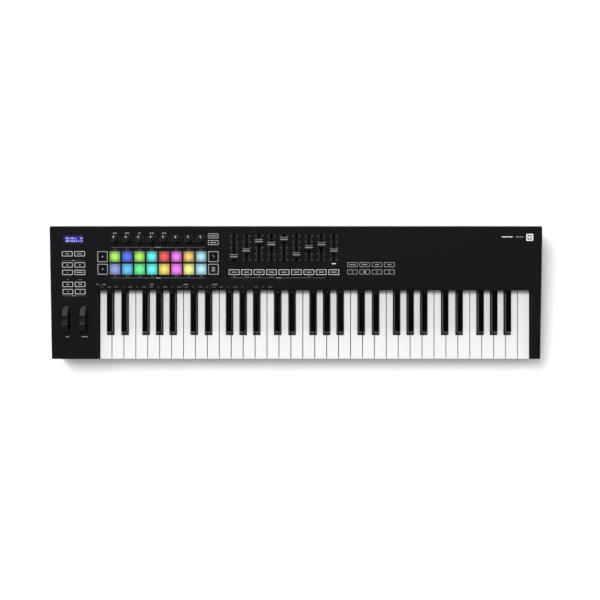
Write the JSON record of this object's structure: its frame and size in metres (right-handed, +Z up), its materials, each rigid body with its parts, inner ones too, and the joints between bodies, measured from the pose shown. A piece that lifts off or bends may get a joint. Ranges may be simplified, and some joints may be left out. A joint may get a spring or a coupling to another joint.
{
  "type": "synthesizer",
  "caption": "Electronic keyboard controller with full-size keys, lit finger pads, rotary knobs, faders, buttons, a small screen, and pitch and modulation wheels in a sloping plastic case.",
  "frame": {"origin": "on the table, below the middle of the case", "axes": "+X towards the treble end, +Y towards the back, +Z up"},
  "size_m": [0.952, 0.258, 0.0776],
  "materials": {
    "case_plastic": "fine satin texture",
    "base_plastic": "fine satin texture",
    "feet_rubber": "matt rubber",
    "screw_steel": "black zinc",
    "frame_plastic": "glass-filled plastic",
    "rod_steel": "ground steel",
    "spring_steel": "spring steel",
    "felt": "felt strip",
    "contact_silicone": "silicone",
    "circuit_board": "solder-masked board",
    "screen_body": "moulded frame",
    "screen_glass": "clear window",
    "pot_metal": "pressed steel",
    "slider_body": "moulded, with a dust lip",
    "sensor_sheet": "sensor film",
    "bracket_steel": "zinc-plated steel",
    "socket_metal": "nickel-plated",
    "socket_plastic": "moulded plastic",
    "ribbon": "flat cable",
    "white_key": "semi-gloss white",
    "black_key": "satin black",
    "wheel_rubber": "soft-touch",
    "knob_plastic": "soft-touch",
    "fader_plastic": "satin",
    "button_silicone": "silicone",
    "pad_silicone": "translucent, lit from below"
  },
  "bodies": {
    "chassis": {"bottom_case": "base_plastic", "top_case": "case_plastic", "rubber_feet": "feet_rubber", "case_screws": "screw_steel", "keybed_frame": "frame_plastic", "key_pivot_rod": "rod_steel", "key_springs": "spring_steel", "key_felts": "felt", "key_contact_strips": "contact_silicone", "keybed_board": "circuit_board", "panel_board": "circuit_board", "socket_board": "circuit_board", "screen_module": "screen_body", "screen_window": "screen_glass", "potentiometers": "pot_metal", "fader_tracks": "slider_body", "pad_sensor_sheet": "sensor_sheet", "wheel_bracket": "bracket_steel", "pitch_return_spring": "spring_steel", "usb_socket": "socket_metal", "midi_socket": "socket_plastic", "pedal_jack": "socket_plastic", "ribbon_cables": "ribbon"},
    "keys_c": {"keys_c": "white_key"},
    "keys_d": {"keys_d": "white_key"},
    "keys_e": {"keys_e": "white_key"},
    "keys_f": {"keys_f": "white_key"},
    "keys_g": {"keys_g": "white_key"},
    "keys_a": {"keys_a": "white_key"},
    "keys_b": {"keys_b": "white_key"},
    "key_high_c": {"key_high_c": "white_key"},
    "keys_c_sharp": {"keys_c_sharp": "black_key"},
    "keys_d_sharp": {"keys_d_sharp": "black_key"},
    "keys_f_sharp": {"keys_f_sharp": "black_key"},
    "keys_g_sharp": {"keys_g_sharp": "black_key"},
    "keys_a_sharp": {"keys_a_sharp": "black_key"},
    "knob_1": {"knob_1": "knob_plastic"},
    "knob_2": {"knob_2": "knob_plastic"},
    "knob_3": {"knob_3": "knob_plastic"},
    "knob_4": {"knob_4": "knob_plastic"},
    "knob_5": {"knob_5": "knob_plastic"},
    "knob_6": {"knob_6": "knob_plastic"},
    "knob_7": {"knob_7": "knob_plastic"},
    "knob_8": {"knob_8": "knob_plastic"},
    "fader_1": {"fader_1": "fader_plastic"},
    "fader_2": {"fader_2": "fader_plastic"},
    "fader_3": {"fader_3": "fader_plastic"},
    "fader_4": {"fader_4": "fader_plastic"},
    "fader_5": {"fader_5": "fader_plastic"},
    "fader_6": {"fader_6": "fader_plastic"},
    "fader_7": {"fader_7": "fader_plastic"},
    "fader_8": {"fader_8": "fader_plastic"},
    "fader_9": {"fader_9": "fader_plastic"},
    "menu_buttons": {"menu_buttons": "button_silicone"},
    "pad_side_buttons": {"pad_side_buttons": "button_silicone"},
    "track_buttons": {"track_buttons": "button_silicone"},
    "transport_buttons": {"transport_buttons": "button_silicone"},
    "pads": {"pads": "pad_silicone"},
    "pitch_wheel": {"pitch_wheel": "wheel_rubber"},
    "mod_wheel": {"mod_wheel": "wheel_rubber"}
  },
  "joints": [
    {"name": "keys_c_press", "type": "hinge", "parent": "chassis", "child": "keys_c", "pos_m": [0, 0.048, 0.034], "axis": [1, 0, 0], "range_deg": [0, 3.1], "stiffness_Nm_per_rad": 4.5, "springref_deg": -3.84},
    {"name": "keys_d_press", "type": "hinge", "parent": "chassis", "child": "keys_d", "pos_m": [0, 0.048, 0.034], "axis": [1, 0, 0], "range_deg": [0, 3.1], "stiffness_Nm_per_rad": 4.5, "springref_deg": -3.84},
    {"name": "keys_e_press", "type": "hinge", "parent": "chassis", "child": "keys_e", "pos_m": [0, 0.048, 0.034], "axis": [1, 0, 0], "range_deg": [0, 3.1], "stiffness_Nm_per_rad": 4.5, "springref_deg": -3.84},
    {"name": "keys_f_press", "type": "hinge", "parent": "chassis", "child": "keys_f", "pos_m": [0, 0.048, 0.034], "axis": [1, 0, 0], "range_deg": [0, 3.1], "stiffness_Nm_per_rad": 4.5, "springref_deg": -3.84},
    {"name": "keys_g_press", "type": "hinge", "parent": "chassis", "child": "keys_g", "pos_m": [0, 0.048, 0.034], "axis": [1, 0, 0], "range_deg": [0, 3.1], "stiffness_Nm_per_rad": 4.5, "springref_deg": -3.84},
    {"name": "keys_a_press", "type": "hinge", "parent": "chassis", "child": "keys_a", "pos_m": [0, 0.048, 0.034], "axis": [1, 0, 0], "range_deg": [0, 3.1], "stiffness_Nm_per_rad": 4.5, "springref_deg": -3.84},
    {"name": "keys_b_press", "type": "hinge", "parent": "chassis", "child": "keys_b", "pos_m": [0, 0.048, 0.034], "axis": [1, 0, 0], "range_deg": [0, 3.1], "stiffness_Nm_per_rad": 4.5, "springref_deg": -3.84},
    {"name": "key_high_c_press", "type": "hinge", "parent": "chassis", "child": "key_high_c", "pos_m": [0, 0.048, 0.034], "axis": [1, 0, 0], "range_deg": [0, 3.1], "stiffness_Nm_per_rad": 0.9, "springref_deg": -3.84},
    {"name": "keys_c_sharp_press", "type": "hinge", "parent": "chassis", "child": "keys_c_sharp", "pos_m": [0, 0.048, 0.034], "axis": [1, 0, 0], "range_deg": [0, 3.1], "stiffness_Nm_per_rad": 4.5, "springref_deg": -3.84},
    {"name": "keys_d_sharp_press", "type": "hinge", "parent": "chassis", "child": "keys_d_sharp", "pos_m": [0, 0.048, 0.034], "axis": [1, 0, 0], "range_deg": [0, 3.1], "stiffness_Nm_per_rad": 4.5, "springref_deg": -3.84},
    {"name": "keys_f_sharp_press", "type": "hinge", "parent": "chassis", "child": "keys_f_sharp", "pos_m": [0, 0.048, 0.034], "axis": [1, 0, 0], "range_deg": [0, 3.1], "stiffness_Nm_per_rad": 4.5, "springref_deg": -3.84},
    {"name": "keys_g_sharp_press", "type": "hinge", "parent": "chassis", "child": "keys_g_sharp", "pos_m": [0, 0.048, 0.034], "axis": [1, 0, 0], "range_deg": [0, 3.1], "stiffness_Nm_per_rad": 4.5, "springref_deg": -3.84},
    {"name": "keys_a_sharp_press", "type": "hinge", "parent": "chassis", "child": "keys_a_sharp", "pos_m": [0, 0.048, 0.034], "axis": [1, 0, 0], "range_deg": [0, 3.1], "stiffness_Nm_per_rad": 4.5, "springref_deg": -3.84},
    {"name": "pitch_wheel_turn", "type": "hinge", "parent": "chassis", "child": "pitch_wheel", "pos_m": [-0.4462, -0.0512, 0.0375], "axis": [1, 0, 0], "range_deg": [-35, 35], "stiffness_Nm_per_rad": 0.08},
    {"name": "mod_wheel_turn", "type": "hinge", "parent": "chassis", "child": "mod_wheel", "pos_m": [-0.4124, -0.0512, 0.0375], "axis": [1, 0, 0], "range_deg": [-30, 30]},
    {"name": "knob_1_turn", "type": "hinge", "parent": "chassis", "child": "knob_1", "pos_m": [-0.35, 0.1039, 0.06454], "axis": [0, -0.058, 0.9983], "range_deg": [-140, 140]},
    {"name": "knob_2_turn", "type": "hinge", "parent": "chassis", "child": "knob_2", "pos_m": [-0.3262, 0.1039, 0.06454], "axis": [0, -0.058, 0.9983], "range_deg": [-140, 140]},
    {"name": "knob_3_turn", "type": "hinge", "parent": "chassis", "child": "knob_3", "pos_m": [-0.3024, 0.1039, 0.06454], "axis": [0, -0.058, 0.9983], "range_deg": [-140, 140]},
    {"name": "knob_4_turn", "type": "hinge", "parent": "chassis", "child": "knob_4", "pos_m": [-0.2786, 0.1039, 0.06454], "axis": [0, -0.058, 0.9983], "range_deg": [-140, 140]},
    {"name": "knob_5_turn", "type": "hinge", "parent": "chassis", "child": "knob_5", "pos_m": [-0.2548, 0.1039, 0.06454], "axis": [0, -0.058, 0.9983], "range_deg": [-140, 140]},
    {"name": "knob_6_turn", "type": "hinge", "parent": "chassis", "child": "knob_6", "pos_m": [-0.231, 0.1039, 0.06454], "axis": [0, -0.058, 0.9983], "range_deg": [-140, 140]},
    {"name": "knob_7_turn", "type": "hinge", "parent": "chassis", "child": "knob_7", "pos_m": [-0.2072, 0.1039, 0.06454], "axis": [0, -0.058, 0.9983], "range_deg": [-140, 140]},
    {"name": "knob_8_turn", "type": "hinge", "parent": "chassis", "child": "knob_8", "pos_m": [-0.1834, 0.1039, 0.06454], "axis": [0, -0.058, 0.9983], "range_deg": [-140, 140]},
    {"name": "fader_1_slide", "type": "slide", "parent": "chassis", "child": "fader_1", "axis": [0, 0.9983, 0.058], "range_m": [-0.00591, 0.03917]},
    {"name": "fader_2_slide", "type": "slide", "parent": "chassis", "child": "fader_2", "axis": [0, 0.9983, 0.058], "range_m": [-0.01703, 0.02805]},
    {"name": "fader_3_slide", "type": "slide", "parent": "chassis", "child": "fader_3", "axis": [0, 0.9983, 0.058], "range_m": [-0.03496, 0.01012]},
    {"name": "fader_4_slide", "type": "slide", "parent": "chassis", "child": "fader_4", "axis": [0, 0.9983, 0.058], "range_m": [-0.02895, 0.01613]},
    {"name": "fader_5_slide", "type": "slide", "parent": "chassis", "child": "fader_5", "axis": [0, 0.9983, 0.058], "range_m": [-0.03907, 0.00601]},
    {"name": "fader_6_slide", "type": "slide", "parent": "chassis", "child": "fader_6", "axis": [0, 0.9983, 0.058], "range_m": [-0.00962, 0.03546]},
    {"name": "fader_7_slide", "type": "slide", "parent": "chassis", "child": "fader_7", "axis": [0, 0.9983, 0.058], "range_m": [-0.02344, 0.02164]},
    {"name": "fader_8_slide", "type": "slide", "parent": "chassis", "child": "fader_8", "axis": [0, 0.9983, 0.058], "range_m": [-0.02895, 0.01613]},
    {"name": "fader_9_slide", "type": "slide", "parent": "chassis", "child": "fader_9", "axis": [0, 0.9983, 0.058], "range_m": [-0.01683, 0.02825]},
    {"name": "menu_buttons_press", "type": "slide", "parent": "chassis", "child": "menu_buttons", "axis": [0, 0.058, -0.9983], "range_m": [0, 0.0009], "stiffness_N_per_m": 3000, "springref_m": -0.0004},
    {"name": "pad_side_buttons_press", "type": "slide", "parent": "chassis", "child": "pad_side_buttons", "axis": [0, 0.058, -0.9983], "range_m": [0, 0.0009], "stiffness_N_per_m": 3000, "springref_m": -0.0004},
    {"name": "track_buttons_press", "type": "slide", "parent": "chassis", "child": "track_buttons", "axis": [0, 0.058, -0.9983], "range_m": [0, 0.0009], "stiffness_N_per_m": 3000, "springref_m": -0.0004},
    {"name": "transport_buttons_press", "type": "slide", "parent": "chassis", "child": "transport_buttons", "axis": [0, 0.058, -0.9983], "range_m": [0, 0.0009], "stiffness_N_per_m": 3000, "springref_m": -0.0004},
    {"name": "pads_press", "type": "slide", "parent": "chassis", "child": "pads", "axis": [0, 0.058, -0.9983], "range_m": [0, 0.0008], "stiffness_N_per_m": 6000, "springref_m": -0.0005}
  ]
}
